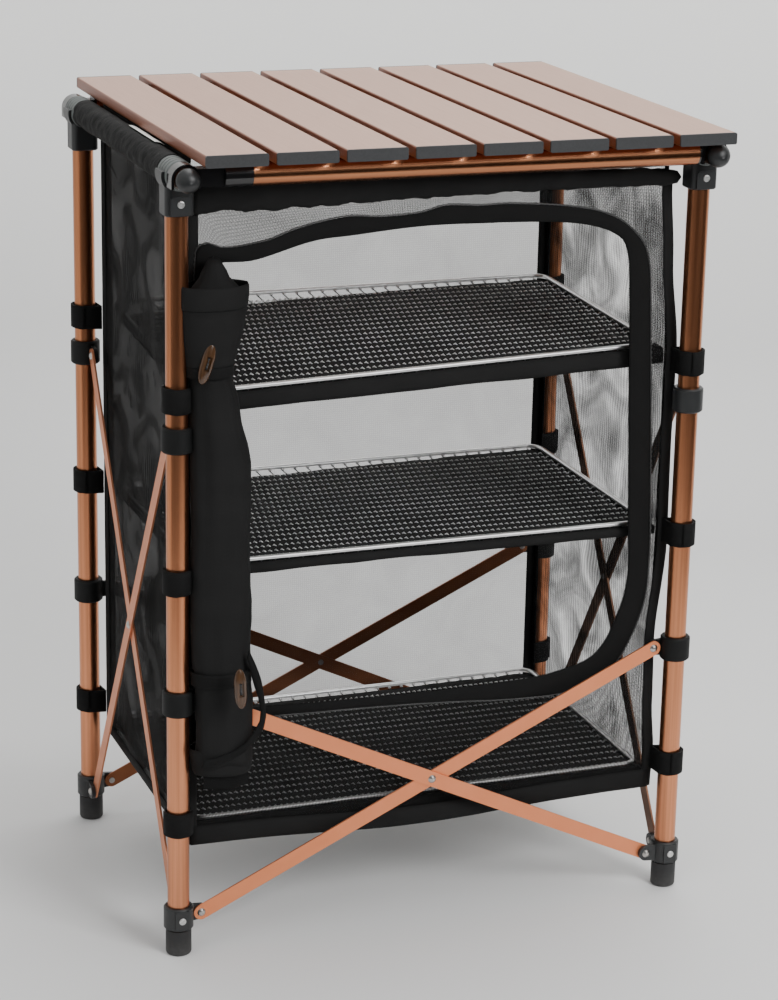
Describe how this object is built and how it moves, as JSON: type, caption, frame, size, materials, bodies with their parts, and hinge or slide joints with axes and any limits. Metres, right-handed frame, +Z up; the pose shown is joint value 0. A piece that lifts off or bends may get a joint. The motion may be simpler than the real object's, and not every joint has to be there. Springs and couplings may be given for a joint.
{
  "type": "folding camp kitchen table",
  "caption": "Folding camp kitchen table with a slatted roll-up top, scissor-braced tube legs and a hanging mesh cupboard with wire shelves.",
  "frame": {"origin": "on the floor, at the middle of the frame's box seen from above", "axes": "+Z up, +Y towards the back, +X to the right seen from the front"},
  "size_m": [0.5732, 0.482, 0.82],
  "materials": {
    "frame_tube": "satin copper-coloured anodising",
    "flat_bar": "satin copper-coloured anodising",
    "slat": "matt rose anodising",
    "slat_cap": "fine matt texture",
    "black_plastic": "semi-matt",
    "grey_rubber": "matt",
    "rubber": "matt",
    "rivet": "satin",
    "shelf_wire": "bright",
    "mesh": "open weave",
    "cloth": "plain weave",
    "webbing": "ribbed weave",
    "elastic": "braided",
    "toggle": "oiled"
  },
  "bodies": {
    "front_frame": {"legs_front": "frame_tube", "feet_front": "rubber", "brackets_front": "black_plastic", "collars_front": "black_plastic", "heads_front": "black_plastic", "brace_front": "flat_bar", "rivets_front": "rivet", "straps_front": "webbing", "side_rails": "frame_tube", "rail_rings": "grey_rubber", "ball_caps": "black_plastic", "mesh_walls": "mesh", "front_surround": "mesh", "cloth_tiers": "cloth", "rail_sleeves": "cloth", "door_roll": "cloth"},
    "rear_frame": {"legs_rear": "frame_tube", "feet_rear": "rubber", "brackets_rear": "black_plastic", "collars_rear": "black_plastic", "heads_rear": "black_plastic", "brace_rear": "flat_bar", "rivets_rear": "rivet", "straps_rear": "webbing"},
    "left_rising_bar": {"brace_left_rising": "flat_bar", "rivets_left_rising": "rivet"},
    "left_falling_bar": {"brace_left_falling": "flat_bar", "rivet_left_falling": "rivet"},
    "right_rising_bar": {"brace_right_rising": "flat_bar", "rivets_right_rising": "rivet"},
    "right_falling_bar": {"brace_right_falling": "flat_bar", "rivet_right_falling": "rivet"},
    "left_front_collar": {"collar_left_front": "black_plastic"},
    "left_rear_collar": {"collar_left_rear": "black_plastic"},
    "right_front_collar": {"collar_right_front": "black_plastic"},
    "right_rear_collar": {"collar_right_rear": "black_plastic"},
    "table_top": {"spreader_rails": "frame_tube", "spreader_fittings": "black_plastic", "elastic_cords": "elastic", "slat_1": "slat", "slat_1_caps": "slat_cap"},
    "top_shelf": {"shelf_top": "shelf_wire"},
    "middle_shelf": {"shelf_mid": "shelf_wire"},
    "low_shelf": {"shelf_low": "shelf_wire"},
    "upper_toggle": {"toggle_upper": "toggle"},
    "lower_toggle": {"toggle_lower": "toggle"},
    "slat_2": {"slat_2": "slat", "slat_2_caps": "slat_cap"},
    "slat_3": {"slat_3": "slat", "slat_3_caps": "slat_cap"},
    "slat_4": {"slat_4": "slat", "slat_4_caps": "slat_cap"},
    "slat_5": {"slat_5": "slat", "slat_5_caps": "slat_cap"},
    "slat_6": {"slat_6": "slat", "slat_6_caps": "slat_cap"},
    "slat_7": {"slat_7": "slat", "slat_7_caps": "slat_cap"},
    "slat_8": {"slat_8": "slat", "slat_8_caps": "slat_cap"}
  },
  "joints": [
    {"name": "top_lift", "type": "slide", "parent": "front_frame", "child": "table_top", "axis": [0, 0, 1], "range_m": [0, 1.6], "deforming": ["straps_front", "straps_rear", "mesh_walls", "front_surround", "cloth_tiers", "rail_sleeves", "door_roll"]},
    {"name": "top_shelf_lift", "type": "slide", "parent": "front_frame", "child": "top_shelf", "axis": [0, 0, 1], "range_m": [0, 1.6]},
    {"name": "middle_shelf_lift", "type": "slide", "parent": "front_frame", "child": "middle_shelf", "axis": [0, 0, 1], "range_m": [0, 1.6]},
    {"name": "low_shelf_lift", "type": "slide", "parent": "front_frame", "child": "low_shelf", "axis": [0, 0, 1], "range_m": [0, 1.6]},
    {"name": "left_bar_fold", "type": "hinge", "parent": "front_frame", "child": "left_rising_bar", "pos_m": [-0.269, -0.154, 0.04], "axis": [1, 0, 0], "range_deg": [-0.2, 28]},
    {"name": "left_scissor", "type": "hinge", "parent": "left_rising_bar", "child": "left_falling_bar", "pos_m": [-0.269, 0, 0.289], "axis": [1, 0, 0], "range_deg": [-55.8, 0.2]},
    {"name": "left_front_collar_pivot", "type": "hinge", "parent": "left_falling_bar", "child": "left_front_collar", "pos_m": [-0.269, -0.154, 0.538], "axis": [1, 0, 0], "range_deg": [-0.2, 28]},
    {"name": "left_rear_collar_pivot", "type": "hinge", "parent": "left_rising_bar", "child": "left_rear_collar", "pos_m": [-0.269, 0.154, 0.538], "axis": [1, 0, 0], "range_deg": [-28, 0.2]},
    {"name": "right_bar_fold", "type": "hinge", "parent": "front_frame", "child": "right_rising_bar", "pos_m": [0.269, -0.154, 0.04], "axis": [1, 0, 0], "range_deg": [-0.2, 28]},
    {"name": "right_scissor", "type": "hinge", "parent": "right_rising_bar", "child": "right_falling_bar", "pos_m": [0.269, 0, 0.289], "axis": [1, 0, 0], "range_deg": [-55.8, 0.2]},
    {"name": "right_front_collar_pivot", "type": "hinge", "parent": "right_falling_bar", "child": "right_front_collar", "pos_m": [0.269, -0.154, 0.538], "axis": [1, 0, 0], "range_deg": [-0.2, 28]},
    {"name": "right_rear_collar_pivot", "type": "hinge", "parent": "right_rising_bar", "child": "right_rear_collar", "pos_m": [0.269, 0.154, 0.538], "axis": [1, 0, 0], "range_deg": [-28, 0.2]},
    {"name": "rear_frame_pivot", "type": "hinge", "parent": "left_falling_bar", "child": "rear_frame", "pos_m": [-0.269, 0.154, 0.04], "axis": [1, 0, 0], "range_deg": [-0.2, 28]},
    {"name": "slat_roll_1", "type": "hinge", "parent": "table_top", "child": "slat_2", "pos_m": [-0.19515, 0, 0.82], "axis": [0, -1, 0], "range_deg": [0, 40], "deforming": ["elastic_cords"]},
    {"name": "slat_roll_2", "type": "hinge", "parent": "slat_2", "child": "slat_3", "pos_m": [-0.1273, 0, 0.82], "axis": [0, -1, 0], "range_deg": [0, 40]},
    {"name": "slat_roll_3", "type": "hinge", "parent": "slat_3", "child": "slat_4", "pos_m": [-0.05945, 0, 0.82], "axis": [0, -1, 0], "range_deg": [0, 40]},
    {"name": "slat_roll_4", "type": "hinge", "parent": "slat_4", "child": "slat_5", "pos_m": [0.0084, 0, 0.82], "axis": [0, -1, 0], "range_deg": [0, 40]},
    {"name": "slat_roll_5", "type": "hinge", "parent": "slat_5", "child": "slat_6", "pos_m": [0.07625, 0, 0.82], "axis": [0, -1, 0], "range_deg": [0, 40]},
    {"name": "slat_roll_6", "type": "hinge", "parent": "slat_6", "child": "slat_7", "pos_m": [0.1441, 0, 0.82], "axis": [0, -1, 0], "range_deg": [0, 40]},
    {"name": "slat_roll_7", "type": "hinge", "parent": "slat_7", "child": "slat_8", "pos_m": [0.21195, 0, 0.82], "axis": [0, -1, 0], "range_deg": [0, 40]},
    {"name": "upper_toggle_swing", "type": "hinge", "parent": "front_frame", "child": "upper_toggle", "pos_m": [-0.2461, -0.201, 0.616], "axis": [0, 1, 0], "range_deg": [-50, 50]},
    {"name": "lower_toggle_swing", "type": "hinge", "parent": "front_frame", "child": "lower_toggle", "pos_m": [-0.221, -0.2301, 0.297], "axis": [0, 1, 0], "range_deg": [-50, 50]}
  ],
  "couplings": [
    {"joint": "top_shelf_lift", "follows": "top_lift", "ratio": 1},
    {"joint": "middle_shelf_lift", "follows": "top_lift", "ratio": 1},
    {"joint": "low_shelf_lift", "follows": "top_lift", "ratio": 1},
    {"joint": "left_bar_fold", "follows": "top_lift", "rad_per_m": 0.30325},
    {"joint": "left_scissor", "follows": "top_lift", "rad_per_m": -0.6065},
    {"joint": "left_front_collar_pivot", "follows": "top_lift", "rad_per_m": 0.30325},
    {"joint": "left_rear_collar_pivot", "follows": "top_lift", "rad_per_m": -0.30325},
    {"joint": "right_bar_fold", "follows": "top_lift", "rad_per_m": 0.30325},
    {"joint": "right_scissor", "follows": "top_lift", "rad_per_m": -0.6065},
    {"joint": "right_front_collar_pivot", "follows": "top_lift", "rad_per_m": 0.30325},
    {"joint": "right_rear_collar_pivot", "follows": "top_lift", "rad_per_m": -0.30325},
    {"joint": "rear_frame_pivot", "follows": "top_lift", "rad_per_m": 0.30325},
    {"joint": "slat_roll_2", "follows": "slat_roll_1", "ratio": 1},
    {"joint": "slat_roll_3", "follows": "slat_roll_1", "ratio": 1},
    {"joint": "slat_roll_4", "follows": "slat_roll_1", "ratio": 1},
    {"joint": "slat_roll_5", "follows": "slat_roll_1", "ratio": 1},
    {"joint": "slat_roll_6", "follows": "slat_roll_1", "ratio": 1},
    {"joint": "slat_roll_7", "follows": "slat_roll_1", "ratio": 1}
  ]
}
